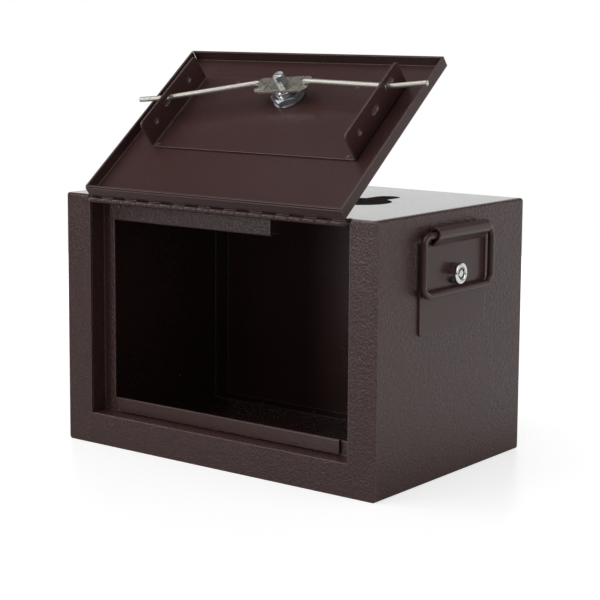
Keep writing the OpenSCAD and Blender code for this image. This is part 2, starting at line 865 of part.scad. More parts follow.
module side_lock_barrel() {
    tip = side_x + side_reach;
    color(chrome) at_side_lock() difference() {
        union() {
            along_axis(side_plate_x, side_reach - plate_t - lock_bevel, side_barrel_d);
            translate([tip - lock_bevel, 0, 0]) rotate([0, 90, 0])
                cylinder(d1 = side_barrel_d, d2 = side_barrel_d - 2 * lock_bevel, h = lock_bevel);
            along_axis(side_back_x, side_plate_x - side_back_x, side_neck_d);
        }
        along_axis(side_back_x - over, side_inner + side_reach + 2 * over, plug_bore);
    }
}

module side_lock_nut() {
    color(zinc) at_side_lock() translate([side_x - sheet_t - side_nut_t, 0, 0])
        rotate([0, 90, 0]) difference() {
            linear_extrude(side_nut_t) hexagon(side_nut_af);
            translate([0, 0, -over]) cylinder(d = side_neck_d + nut_play, h = side_nut_t + 2 * over);
        }
}

module side_lock_plug() {
    tip = side_x + side_reach - plug_sink;
    root = side_back_x - cam_gap;
    color(chrome) at_side_lock() difference() {
        along_axis(root, tip - root, plug_d);
        translate([tip, 0, 0]) rotate([0, -90, 0]) keyway();
        along_axis(root - over, over + cam_gap + screw_grip + screw_tip_gap, cam_screw_d + pin_play);
    }
}

module side_lock_cam() {
    color(nickel) at_side_lock() translate([side_back_x - cam_gap - cam_t, 0, 0])
        rotate([0, 90, 0]) linear_extrude(cam_t) difference() {
            translate([side_cam_l / 2 - side_cam_w / 4, 0])
                slot_outline(side_cam_l + side_cam_w / 2, side_cam_w);
            circle(d = cam_screw_d + screw_play);
        }
}

module side_lock_screw() {
    seat = side_back_x - cam_gap - cam_t;
    color(zinc) at_side_lock() {
        along_axis(seat, cam_t + cam_gap + screw_grip, cam_screw_d);
        translate([seat - cam_head_t, 0, 0]) rotate([0, 90, 0])
            linear_extrude(cam_head_t) hexagon(cam_head_af);
    }
}

case_wrap();
top_sheet();
left_stop_angle();
right_stop_angle();
bottom_stop_angle();
sill_bar();
top_apron();
back_panel();
hinge_case_leaf();
hinge_lid_leaf();
hinge_pin();
lid_pan();
latch_bracket();
lid_lock_barrel();
lid_lock_nut();
lid_lock_plug();
latch_cam();
latch_cam_washer();
latch_cam_screw();
left_rod();
right_rod();
handle_plate();
bail_handle();
side_lock_barrel();
side_lock_nut();
side_lock_plug();
side_lock_cam();
side_lock_screw();
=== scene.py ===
"""Key drop box: dark brown powder-coated case, lid with rod latch, bail handle and side lock.

Run as a script in Blender 4.5. Lengths in the settings are metres, in the frame of the part:
+X right along the front, +Y to the back, +Z up, origin at the centre of the underside.
"""

import json
import math

import bmesh
import bpy
from bpy.props import FloatProperty, FloatVectorProperty, IntProperty, PointerProperty
from mathutils import Euler, Matrix, Vector


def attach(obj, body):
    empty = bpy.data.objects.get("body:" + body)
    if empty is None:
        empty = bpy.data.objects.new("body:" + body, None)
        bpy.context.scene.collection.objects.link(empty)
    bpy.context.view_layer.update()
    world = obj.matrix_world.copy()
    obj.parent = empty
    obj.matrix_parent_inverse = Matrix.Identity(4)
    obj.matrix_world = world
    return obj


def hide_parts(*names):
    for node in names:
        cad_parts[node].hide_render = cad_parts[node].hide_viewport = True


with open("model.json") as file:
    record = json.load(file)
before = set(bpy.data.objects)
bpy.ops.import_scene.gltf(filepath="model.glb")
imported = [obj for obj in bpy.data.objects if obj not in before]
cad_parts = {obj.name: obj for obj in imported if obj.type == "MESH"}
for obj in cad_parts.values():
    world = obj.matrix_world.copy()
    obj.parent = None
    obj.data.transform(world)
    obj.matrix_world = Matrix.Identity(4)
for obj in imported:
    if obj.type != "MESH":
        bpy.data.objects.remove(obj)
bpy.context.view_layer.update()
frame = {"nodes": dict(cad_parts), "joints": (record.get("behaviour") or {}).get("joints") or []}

bl_info = {
    "name": "Key Drop Box",
    "version": (1, 0, 0),
    "blender": (4, 5, 0),
    "location": "3D View > Sidebar > Key Box",
    "description": "Dresses the key drop box in its finishes, latch rods, locks and hinge",
    "category": "Object",
}

MM = 0.001
JOINTS = {joint["name"]: joint for joint in frame["joints"]}
HINGE_AT = Vector(JOINTS["lid_hinge"]["pos_m"])
LID_NORMAL = Vector(JOINTS["latch_turn"]["axis"]).normalized()
LID_ALONG = LID_NORMAL.cross(Vector((1, 0, 0))).normalized()
SIDE_LOCK_AT = Vector(JOINTS["side_cam_turn"]["pos_m"])

PAINTED_ROUGH = ("case_wrap", "top_apron", "left_stop_angle", "right_stop_angle",
                 "bottom_stop_angle")
PAINTED_SMOOTH = ("sill_bar", "back_panel", "lid_pan", "latch_bracket", "handle_plate",
                  "bail_handle")
PLATED = {
    "hinge_pin": "nickel_plate",
    "latch_cam": "satin_nickel_plate",
    "side_lock_nut": "zinc_plate",
    "side_lock_cam": "satin_nickel_plate",
    "side_lock_screw": "zinc_plate",
}

# Hook, kink and tip of each rod in the lid's plane, in mm from the hinge axis
ROD_ROUTES = {
    "left": ((-17.69, 121.71), (-102.05, 99.3), (-127.4, 95.7)),
    "right": ((22.09, 125.89), (106.45, 123.3), (136.0, 128.3)),
}
# Spot welds on the bracket's floor and by the hinge, in mm in the lid's frame
BRACKET_WELDS = ((-94.0, 62.5, 5.3), (94.0, 62.5, 5.3), (-60.0, 139.0, 5.3), (60.0, 139.0, 5.3))
HINGE_WELDS = tuple((x, 8.0, 3.8) for x in (-90.0, -30.0, 30.0, 90.0))
# Spot welds on the left side and along the floor's back, in mm in the part's frame
SIDE_WELDS = ((-151.0, -50.0, 30.0), (-151.0, 35.0, 30.0))
FLOOR_WELDS = tuple((x, 88.0, 3.15) for x in (-100.0, -43.5, 10.0, 66.0))

# Spring washer and screw that hold the latch cam, in mm in the latch's frame
WASHER = {"inner": 2.75, "outer": 4.5, "low": 24.4, "thick": 1.0}
CAM_SCREW = {"seat": 25.4, "head": 3.6, "across": 8.0, "tip": 13.9}

# The photograph's camera: place in metres, turn and tilt in degrees
CAMERA_AT = (0.8148, -1.0602, 0.3439)
CAMERA_YAW, CAMERA_PITCH, CAMERA_ROLL = 37.297, -7.546, 0.375
# Flat direction in which the camera looks
AWAY = (-0.606, 0.795, 0.0)
CAM_TILT = math.radians(6.0)


# ---- Frames of the lid and of the side lock ----


def axes(x_axis, y_axis, z_axis, origin):
    """Matrix whose columns are the given axes and origin."""
    matrix = Matrix.Identity(4)
    for column, vector in enumerate((x_axis, y_axis, z_axis, origin)):
        for row in range(3):
            matrix[row][column] = vector[row]
    return matrix


LID = axes(Vector((1, 0, 0)), LID_ALONG, LID_NORMAL, HINGE_AT)
LATCH = axes(Vector((1, 0, 0)), LID_ALONG, LID_NORMAL, Vector(JOINTS["latch_turn"]["pos_m"]))
# The side lock's own z runs outwards along +X
SIDE_LOCK = axes(Vector((0, 1, 0)), Vector((0, 0, 1)), Vector((1, 0, 0)),
                 Vector((0, SIDE_LOCK_AT.y, SIDE_LOCK_AT.z)))


# ---- Settings ----


def length(name, description, default):
    return FloatProperty(name=name, description=description, default=default,
                         min=0.0, unit="LENGTH", precision=5)


def share(name, description, default):
    return FloatProperty(name=name, description=description, default=default,
                         min=0.0, max=1.0, subtype="FACTOR")


def colour(name, description, default):
    return FloatVectorProperty(name=name, description=description, default=default,
                               size=3, min=0.0, max=1.0, subtype="COLOR")


class PaintSettings(bpy.types.PropertyGroup):
    tone: colour("Paint Colour", "Colour of the powder coat", (0.050, 0.0225, 0.021))
    tone_light: colour("Peak Colour", "Colour on the peaks of its texture", (0.080, 0.047, 0.044))
    # Painted highlight: a pale colour along the sheets' edges that stands in for glints on the
    # rounded paint, not thinner paint
    edge_highlight_tone: colour("Edge Colour", "Colour where the paint thins over an edge",
                      (0.30, 0.215, 0.20))
    roughness: share("Paint Roughness", "Roughness between the peaks", 0.25)
    coat: share("Paint Gloss", "Weight of the clear gloss on the flat top", 0.35)
    coat_roughness: share("Gloss Roughness", "Roughness of the clear gloss", 0.16)
    peel: length("Texture Size", "Size of one bump of the orange-peel texture", 0.0013)
    peel_depth: length("Texture Depth", "Height of the bumps", 0.00048)
    edge: length("Edge Radius", "Radius of paint over a sheet's sharp edges", 0.0011)


class PlatingSettings(bpy.types.PropertyGroup):
    nickel: colour("Nickel Colour", "Colour of the rods and the pin", (0.86, 0.81, 0.71))
    satin: colour("Satin Nickel Colour", "Colour of the cams", (0.55, 0.52, 0.455))
    zinc: colour("Zinc Colour", "Colour of nuts, screws and washers", (0.52, 0.57, 0.62))
    chrome: colour("Chrome Colour", "Colour of the locks", (0.47, 0.465, 0.46))


class RodSettings(bpy.types.PropertyGroup):
    diameter: length("Rod Diameter", "Diameter of the latch rods", 0.0042)
    height: length("Rod Height", "Height of the rods over the hinge axis, off the lid", 0.0216)
    foot: length("Foot Length", "Length of a rod's foot from its centre line", 0.0062)
    hook_bend: length("Hook Bend", "Centre-line radius of the bend into the cam", 0.0034)
    kink_bend: length("Kink Bend", "Centre-line radius of the kink by the flange", 0.010)


class LockSettings(bpy.types.PropertyGroup):
    pins: IntProperty(name="Pins", description="Pins in the ring keyway", default=7, min=3)
    pin_radius: length("Pin Radius", "Radius of one pin", 0.0008)
    keyway_in: length("Keyway Inside", "Inner radius of the ring keyway", 0.0028)
    keyway_out: length("Keyway Outside", "Outer radius of the ring keyway", 0.0045)
    keyway_depth: length("Keyway Depth", "Depth of the ring keyway", 0.004)
    pitch: length("Thread Pitch", "Pitch of the threads on the barrels", 0.001)


class HingeSettings(bpy.types.PropertyGroup):
    knuckles: IntProperty(name="Knuckles", description="Knuckles of both leaves", default=20, min=2)
    length: length("Hinge Length", "Length over all knuckles", 0.2505)
    radius: length("Knuckle Radius", "Outer radius of a knuckle", 0.0023)
    gap: length("Knuckle Gap", "Gap between neighbouring knuckles", 0.0003)
    leaf: length("Leaf Thickness", "Thickness of a leaf", 0.001)


class WeldSettings(bpy.types.PropertyGroup):
    radius: length("Weld Radius", "Radius of a spot weld's mark", 0.0021)
    height: length("Weld Height", "Height of the mark's rim", 0.00022)


class StageSettings(bpy.types.PropertyGroup):
    floor_tone: share("Floor Whiteness", "Albedo of the floor", 0.42)
    floor_radius: length("Floor Radius", "Radius of the floor under the object", 1.15)
    floor_glow: FloatProperty(name="Floor Glow", default=0.67, min=0.0,
                              description="Strength of white that only views and reflections see")
    sky: FloatProperty(name="Sky Light", default=0.40, min=0.0,
                       description="Strength of the even light from all round")
    high_glow: FloatProperty(name="Ceiling Reflection", default=0.08, min=0.0,
                             description="Strength of what gloss reflects off the backdrop")
    lens: FloatProperty(name="Lens", default=100.97, min=10.0, unit="CAMERA",
                        description="Focal length for a 36 mm sensor")
    shift: FloatProperty(name="Lens Shift", default=-0.1, min=-1.0, max=1.0,
                         description="Vertical shift that gives the photograph's framing")


class KeyBoxSettings(bpy.types.PropertyGroup):
    paint: PointerProperty(type=PaintSettings)
    plating: PointerProperty(type=PlatingSettings)
    rods: PointerProperty(type=RodSettings)
    locks: PointerProperty(type=LockSettings)
    hinge: PointerProperty(type=HingeSettings)
    welds: PointerProperty(type=WeldSettings)
    stage: PointerProperty(type=StageSettings)


def settings():
    return bpy.context.scene.key_box


# ---- Node trees ----


class Value:
    """A node socket that adds Math nodes when it is used in an expression."""

    def __init__(self, tree, socket):
        self.tree = tree
        self.socket = socket

    def _math(self, operation, first, second):
        return self.tree.add("ShaderNodeMath", {"operation": operation}, {0: first, 1: second})

    def __add__(self, other):
        return self._math("ADD", self, other)

    def __radd__(self, other):
        return self._math("ADD", other, self)

    def __sub__(self, other):
        return self._math("SUBTRACT", self, other)

    def __rsub__(self, other):
        return self._math("SUBTRACT", other, self)

    def __mul__(self, other):
        return self._math("MULTIPLY", self, other)

    def __rmul__(self, other):
        return self._math("MULTIPLY", other, self)

    def most(self, other):
        return self._math("MAXIMUM", self, other)


class Tree:
    """Adds nodes to one node tree."""

    def __init__(self, tree):
        self.tree = tree
        tree.nodes.clear()

    def add(self, kind, options=None, inputs=None, output=0):
        """Adds a node of a type, sets its options, then its sockets, and returns one output."""
        node = self.tree.nodes.new(kind)
        for key, value in (options or {}).items():
            if key == "stops":
                ramp = node.color_ramp
                while len(ramp.elements) < len(value):
                    ramp.elements.new(0.5)
                for element, (position, tone) in zip(ramp.elements, value):
                    element.position, element.color = position, tone
            else:
                setattr(node, key, value)
        for key, value in (inputs or {}).items():
            socket = node.inputs[key]
            if isinstance(value, Value):
                self.tree.links.new(value.socket, socket)
            else:
                socket.default_value = value
        return Value(self, node.outputs[output]) if node.outputs else node


def rgba(tone):
    return (*tone, 1.0)


def new_material(name):
    material = bpy.data.materials.new(name)
    material.use_nodes = True
    return material, Tree(material.node_tree)


def mixed(tree, factor, first, second):
    """Colour mix of two colours or colour sockets."""
    return tree.add("ShaderNodeMix", {"data_type": "RGBA"}, {0: factor, 6: first, 7: second}, 2)


def powder_coat(name, depth_share, roughness_shift, coat=0.0):
    """Dark semi-gloss paint with a fine orange-peel texture."""
    paint = settings().paint
    material, tree = new_material(name)
    place = tree.add("ShaderNodeTexCoord", output=3)
    bumps = tree.add("ShaderNodeTexVoronoi", {"feature": "SMOOTH_F1"},
                     {"Vector": place, "Scale": 1.0 / paint.peel, "Smoothness": 0.7})
    swell = tree.add("ShaderNodeTexNoise", inputs={"Vector": place, "Scale": 0.55 / paint.peel,
                                                   "Detail": 3.0, "Roughness": 0.6})
    cloud = tree.add("ShaderNodeTexNoise", inputs={"Vector": place, "Scale": 14.0, "Detail": 2.0})
    peaks = swell * 0.75 + (1.0 - bumps) * 0.45
    fleck = tree.add("ShaderNodeMapRange", {"interpolation_type": "SMOOTHSTEP"},
                     {"Value": peaks, "From Min": 0.60, "From Max": 0.88})
    soft_edge = tree.add("ShaderNodeBevel", {"samples": 6}, {"Radius": paint.edge})
    facing = tree.add("ShaderNodeNewGeometry", output="Normal")
    bent = 1.0 - tree.add("ShaderNodeVectorMath", {"operation": "DOT_PRODUCT"},
                          {0: soft_edge, 1: facing}, 1)
    # Painted highlight: where the rounded normal bends away from the face, the base colour turns
    # paler along the edge
    edge_highlight_mask = tree.add("ShaderNodeMapRange", {}, {"Value": bent, "From Min": 0.03, "From Max": 0.28})
    tone = mixed(tree, fleck * 0.5 + (cloud - 0.5) * 0.25, rgba(paint.tone), rgba(paint.tone_light))
    tone = mixed(tree, edge_highlight_mask * 0.75, tone, rgba(paint.edge_highlight_tone))
    relief = tree.add("ShaderNodeBump", inputs={
        "Strength": 1.0, "Distance": paint.peel_depth * depth_share,
        "Height": peaks, "Normal": soft_edge})
    surface = tree.add("ShaderNodeBsdfPrincipled", inputs={
        "Base Color": tone,
        "Roughness": paint.roughness + roughness_shift + cloud * 0.08 - fleck * 0.12,
        "Normal": relief,
        "IOR": 1.45,
        "Coat Weight": coat,
        "Coat Roughness": paint.coat_roughness,
    })
    tree.add("ShaderNodeOutputMaterial", inputs={"Surface": surface})
    return material


def plating(name, tone, roughness, wear, grain):
    """Plated metal with faint rubbed patches and a fine drawn grain."""
    material, tree = new_material(name)
    place = tree.add("ShaderNodeTexCoord", output=3)
    patches = tree.add("ShaderNodeTexNoise", inputs={"Vector": place, "Scale": 260.0,
                                                     "Detail": 4.0, "Roughness": 0.65})
    scratches = tree.add("ShaderNodeTexNoise", inputs={"Vector": place, "Scale": 2400.0,
                                                       "Detail": 2.0})
    dull = tree.add("ShaderNodeMapRange", {}, {"Value": patches, "From Min": 0.42,
                                               "From Max": 0.72})
    darker = [channel * (1.0 - wear) for channel in tone]
    relief = tree.add("ShaderNodeBump", inputs={
        "Strength": 0.3, "Distance": grain, "Height": patches * 0.7 + scratches * 0.3,
        "Normal": tree.add("ShaderNodeBevel", {"samples": 4}, {"Radius": 0.0004})})
    surface = tree.add("ShaderNodeBsdfPrincipled", inputs={
        "Base Color": mixed(tree, dull, rgba(tone), rgba(darker)),
        "Metallic": 1.0,
        "Roughness": roughness + dull * 0.12,
        "Normal": relief,
    })
    tree.add("ShaderNodeOutputMaterial", inputs={"Surface": surface})
    return material


def finishes():
    """The finishes by slot name, made once."""
    made = bpy.data.materials
    if "powder_coat_rough" not in made:
        tones = settings().plating
        powder_coat("powder_coat_rough", 1.0, 0.0)
        powder_coat("powder_coat_smooth", 0.22, -0.03)
        powder_coat("powder_coat_top", 0.12, -0.12, settings().paint.coat)
        plating("nickel_plate", tones.nickel, 0.13, 0.16, 0.00002)
        plating("satin_nickel_plate", tones.satin, 0.26, 0.20, 0.00002)
        plating("zinc_plate", tones.zinc, 0.12, 0.30, 0.00003)
        plating("chrome_plate", tones.chrome, 0.06, 0.10, 0.00001)
    return made


# ---- Meshes ----


def add_piece(name, mesh, body, material, replaces=()):
    """Links a finished mesh as a piece that rides on a body."""
    piece = bpy.data.objects.new(name, mesh)
    bpy.context.scene.collection.objects.link(piece)
    mesh.materials.clear()
    mesh.materials.append(finishes()[material])
    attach(piece, body)
    if replaces:
        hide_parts(*replaces)
    return piece


def to_mesh(name, shells, matrix, sharp=35.0):
    """One mesh from closed shells of (corners, faces), placed by a matrix."""
    bm = bmesh.new()
    for corners, faces in shells:
        placed = [bm.verts.new(corner) for corner in corners]
        for face in faces:
            bm.faces.new([placed[i] for i in face])
    bmesh.ops.recalc_face_normals(bm, faces=bm.faces)
    mesh = bpy.data.meshes.new(name)
    bm.to_mesh(mesh)
    bm.free()
    mesh.transform(matrix)
    mesh.shade_smooth()
    mesh.set_sharp_from_angle(angle=math.radians(sharp))
    return mesh


def turned(rings, count=64, ring_shut=False):
    """Shell turned round z from rings of (radius, height) or (radius, height, across flats)."""
    corners, faces, rows = [], [], []
    for radius, height, *flats in rings:
        if radius == 0:
            rows.append([len(corners)])
            corners.append((0.0, 0.0, height))
            continue
        rows.append(range(len(corners), len(corners) + count))
        for k in range(count):
            angle = 2 * math.pi * k / count
            reach = radius
            if flats:
                off = (angle + math.pi / 6) % (math.pi / 3) - math.pi / 6
                reach = min(radius, flats[0] / 2 / math.cos(off))
            corners.append((reach * math.cos(angle), reach * math.sin(angle), height))
    pairs = list(zip(rows, rows[1:]))
    if ring_shut:
        pairs.append((rows[-1], rows[0]))
    for low, high in pairs:
        for k in range(count):
            ring = [low[k % len(low)], low[(k + 1) % len(low)],
                    high[(k + 1) % len(high)], high[k % len(high)]]
            faces.append(list(dict.fromkeys(ring)))
    return corners, faces


def chamfered_hexagon(across, low, high, bore, bevel_low=False):
    """Rings of a hexagon nut or head whose corners are turned off at its faces."""
    tip = across / 2 / math.cos(math.pi / 6)
    steps = 5
    drop = (tip - across / 2) * 0.55
    rings = [(bore, low)] if bore else [(0.0, low)]
    if bevel_low:
        rings += [(across / 2 + (tip - across / 2) * i / steps, low + drop * i / steps, across)
                  for i in range(steps + 1)]
    else:
        rings.append((tip, low, across))
    rings += [(tip - (tip - across / 2) * i / steps, high - drop + drop * i / steps, across)
              for i in range(steps + 1)]
    rings.append((bore, high) if bore else (0.0, high))
    return rings


def round_corners(points, radii, step=0.0006):
    """Polyline with its inner corners rounded to the given radii."""
    path = [points[0]]
    for before, corner, after, radius in zip(points, points[1:], points[2:], radii):
        into, out = (corner - before).normalized(), (after - corner).normalized()
        turn = into.angle(out)
        back = radius * math.tan(turn / 2)
        start = corner - into * back
        inward = (out - into * into.dot(out)).normalized()
        centre = start + inward * radius
        count = max(4, int(radius * turn / step))
        for i in range(count + 1):
            angle = turn * i / count
            path.append(centre - inward * (radius * math.cos(angle))
                        + into * (radius * math.sin(angle)))
    path.append(points[-1])
    return path


def swept(path, radius, count=28, tip_bevel=0.0004):
    """Round wire along a path, with bevelled ends."""
    tangents = []
    for i in range(len(path)):
        low, high = path[max(i - 1, 0)], path[min(i + 1, len(path) - 1)]
        tangents.append((high - low).normalized())
    side = tangents[0].orthogonal().normalized()
    corners, faces, rows = [], [], []

    def ring(centre, across, tangent, reach):
        rows.append(range(len(corners), len(corners) + count))
        other = tangent.cross(across)
        for k in range(count):
            angle = 2 * math.pi * k / count
            offset = across * math.cos(angle) + other * math.sin(angle)
            corners.append(centre + offset * reach)

    for i, (centre, tangent) in enumerate(zip(path, tangents)):
        side = (side - tangent * side.dot(tangent)).normalized()
        if i == 0:
            ring(centre, side, tangent, radius - tip_bevel)
            ring(centre + tangent * tip_bevel, side, tangent, radius)
        elif i == len(path) - 1:
            ring(centre - tangent * tip_bevel, side, tangent, radius)
            ring(centre, side, tangent, radius - tip_bevel)
        else:
            ring(centre, side, tangent, radius)
    for low, high in zip(rows, rows[1:]):
        for k in range(count):
            faces.append([low[k], low[(k + 1) % count], high[(k + 1) % count], high[k]])
    faces.append(list(rows[0])[::-1])
    faces.append(list(rows[-1]))
    return corners, faces


# ---- Geometry node trees ----


class GeometryTree(Tree):
    """A Geometry Nodes group with named inputs that ends in real faces with a material."""

    def __init__(self, name):
        self.group = bpy.data.node_groups.new(name, "GeometryNodeTree")
        super().__init__(self.group)
        self.group.interface.new_socket("Geometry", in_out="INPUT",
                                        socket_type="NodeSocketGeometry")
        self.group.interface.new_socket("Geometry", in_out="OUTPUT",
                                        socket_type="NodeSocketGeometry")
        self.identifiers = {}
        self.source = None

    def named_input(self, name, kind):
        item = self.group.interface.new_socket(name, in_out="INPUT",
                                               socket_type="NodeSocket" + kind)
        self.identifiers[name] = item.identifier

    def named_inputs(self, **kinds):
        """Adds inputs, then returns them as values by name."""
        for name, kind in kinds.items():
            self.named_input(name, kind)
        self.source = self.tree.nodes.new("NodeGroupInput")
        return [Value(self, self.source.outputs[name]) for name in kinds]

    def geometry(self):
        return Value(self, self.source.outputs["Geometry"])

    def end(self, shape, material):
        real = self.add("GeometryNodeRealizeInstances", inputs={"Geometry": shape})
        dressed = self.add("GeometryNodeSetMaterial",
                           inputs={"Geometry": real, "Material": material})
        out = self.tree.nodes.new("NodeGroupOutput")
        self.tree.links.new(dressed.socket, out.inputs["Geometry"])

    def bake(self, name, mesh, matrix=None, sharp=35.0, **values):
        """Runs the group on a mesh and returns the result as a plain mesh."""
        holder = bpy.data.objects.new(name + "_source", mesh)
        bpy.context.scene.collection.objects.link(holder)
        modifier = holder.modifiers.new("shape", "NODES")
        modifier.node_group = self.group
        for key, value in values.items():
            modifier[self.identifiers[key]] = value
        bpy.context.view_layer.update()
        graph = bpy.context.evaluated_depsgraph_get()
        made = bpy.data.meshes.new_from_object(holder.evaluated_get(graph))
        holder.modifiers.remove(modifier)
        bpy.data.objects.remove(holder)
        if not made.polygons:
            raise RuntimeError(name + " has no faces")
        made.name = name
        if matrix is not None:
            made.transform(matrix)
        made.shade_smooth()
        made.set_sharp_from_angle(angle=math.radians(sharp))
        return made


def empty_mesh(name, corners=()):
    mesh = bpy.data.meshes.new(name)
    mesh.from_pydata([tuple(corner) for corner in corners], [], [])
    return mesh


def pin_ring_tree():
    """Pins evenly spaced on a circle round z."""
    tree = GeometryTree("pin_ring")
    count, ring, radius, height, material = tree.named_inputs(
        Count="Int", Ring="Float", Radius="Float", Length="Float", Material="Material")
    circle = tree.add("GeometryNodeMeshCircle", inputs={"Vertices": count, "Radius": ring})
    pin = tree.add("GeometryNodeMeshCylinder", {"fill_type": "NGON"},
                   {"Vertices": 20, "Radius": radius, "Depth": height})
    pins = tree.add("GeometryNodeInstanceOnPoints", inputs={"Points": circle, "Instance": pin})
    tree.end(pins, material)
    return tree


def thread_tree():
    """Raised screw thread: a ridge wound round z."""
    tree = GeometryTree("screw_thread")
    turns, radius, height, ridge, material = tree.named_inputs(
        Turns="Float", Radius="Float", Height="Float", Ridge="Float", Material="Material")
    helix = tree.add("GeometryNodeCurveSpiral", inputs={
        "Resolution": 48, "Rotations": turns, "Start Radius": radius, "End Radius": radius,
        "Height": height})
    profile = tree.add("GeometryNodeCurvePrimitiveCircle", {"mode": "RADIUS"},
                       {"Resolution": 4, "Radius": ridge})
    wound = tree.add("GeometryNodeCurveToMesh",
                     inputs={"Curve": helix, "Profile Curve": profile, "Fill Caps": True})
    tree.end(wound, material)
    return tree


def row_tree():
    """Copies of one shape in a straight row along x."""
    tree = GeometryTree("row_of_knuckles")
    count, start, pitch, shape, material = tree.named_inputs(
        Count="Int", Start="Vector", Pitch="Vector", Shape="Object", Material="Material")
    line = tree.add("GeometryNodeMeshLine", inputs={
        "Count": count, "Start Location": start, "Offset": pitch})
    one = tree.add("GeometryNodeObjectInfo", inputs={"Object": shape}, output="Geometry")
    row = tree.add("GeometryNodeInstanceOnPoints", inputs={"Points": line, "Instance": one})
    tree.end(row, material)
    return tree


def weld_tree():
    """Spot-weld marks at a mesh's points, standing along the aim attribute."""
    tree = GeometryTree("spot_weld_marks")
    shape, material = tree.named_inputs(Shape="Object", Material="Material")
    aim = tree.add("GeometryNodeInputNamedAttribute", {"data_type": "FLOAT_VECTOR"},
                   {"Name": "aim"})
    turn = tree.add("FunctionNodeAlignRotationToVector", {"axis": "Z"}, {"Vector": aim})
    one = tree.add("GeometryNodeObjectInfo", inputs={"Object": shape}, output="Geometry")
    marks = tree.add("GeometryNodeInstanceOnPoints", inputs={
        "Points": tree.geometry(), "Instance": one, "Rotation": turn})
    tree.end(marks, material)
    return tree


def template(name, shells):
    """Object that a tree copies; the caller removes it after the bake."""
    holder = bpy.data.objects.new(name, to_mesh(name, shells, Matrix.Identity(4)))
    bpy.context.scene.collection.objects.link(holder)
    return holder


# ---- Pieces ----


class KEYBOX_OT_sheet_metal(bpy.types.Operator):
    """Powder coat on the folded sheets and plating on the small parts kept from the model"""

    bl_idname = "keybox.sheet_metal"
    bl_label = "Coat Sheet Metal"

    def execute(self, context):
        dress = {name: "powder_coat_rough" for name in PAINTED_ROUGH}
        dress.update({name: "powder_coat_smooth" for name in PAINTED_SMOOTH})
        dress["top_sheet"] = "powder_coat_top"
        dress.update(PLATED)
        for name, material in dress.items():
            node = frame["nodes"][name]
            for place in node.material_slots:
                place.material = finishes()[material]
        return {"FINISHED"}


class KEYBOX_OT_latch_rods(bpy.types.Operator):
    """Two bent rods that hook into the cam and lock the lid behind the stops"""

    bl_idname = "keybox.latch_rods"
    bl_label = "Make Latch Rods"

    def execute(self, context):
        rods = settings().rods
        for side, flat in ROD_ROUTES.items():
            hook, kink, tip = [Vector((x * MM, y * MM, rods.height)) for x, y in flat]
            foot = hook - Vector((0, 0, rods.foot))
            path = round_corners([foot, hook, kink, tip], [rods.hook_bend, rods.kink_bend])
            mesh = to_mesh(side + "_bent_rod", [swept(path, rods.diameter / 2)], LID)
            add_piece(side + "_bent_rod", mesh, side + "_latch_rod",
                      "nickel_plate", (side + "_rod",))
        return {"FINISHED"}


def plug_shell(low, high, radius, locks):
    """Lock plug along z whose key face, with the ring keyway, is at the high end."""
    floor = high - locks.keyway_depth
    bevel = 0.00015
    rings = [(0.0, low), (radius, low), (radius, high - bevel), (radius - bevel, high),
             (locks.keyway_out, high), (locks.keyway_out, floor), (locks.keyway_in, floor),
             (locks.keyway_in, high - 2 * bevel), (locks.keyway_in - 2 * bevel, high), (0.0, high)]
    return turned(rings, 56)


def key_pins(name, face, matrix, body, locks):
    """Pins in the ring keyway, below the key face."""
    middle = (locks.keyway_in + locks.keyway_out) / 2
    pin_length = locks.keyway_depth - 0.0009
    place = matrix @ Matrix.Translation((0, 0, face - locks.keyway_depth + pin_length / 2))
    mesh = pin_ring_tree().bake(
        name, empty_mesh(name), place, Count=locks.pins, Ring=middle,
        Radius=locks.pin_radius, Length=pin_length, Material=finishes()["zinc_plate"])
    add_piece(name, mesh, body, "zinc_plate")


def thread(name, low, high, radius, matrix, body, material, pitch):
    """Wound ridge between two heights on a barrel of the given radius."""
    ridge = pitch * 0.42
    mesh = thread_tree().bake(
        name, empty_mesh(name), matrix @ Matrix.Translation((0, 0, low + ridge)), sharp=80.0,
        Turns=(high - low - 2 * ridge) / pitch, Radius=radius - ridge,
        Height=high - low - 2 * ridge, Ridge=ridge, Material=finishes()[material])
    return add_piece(name, mesh, body, material)


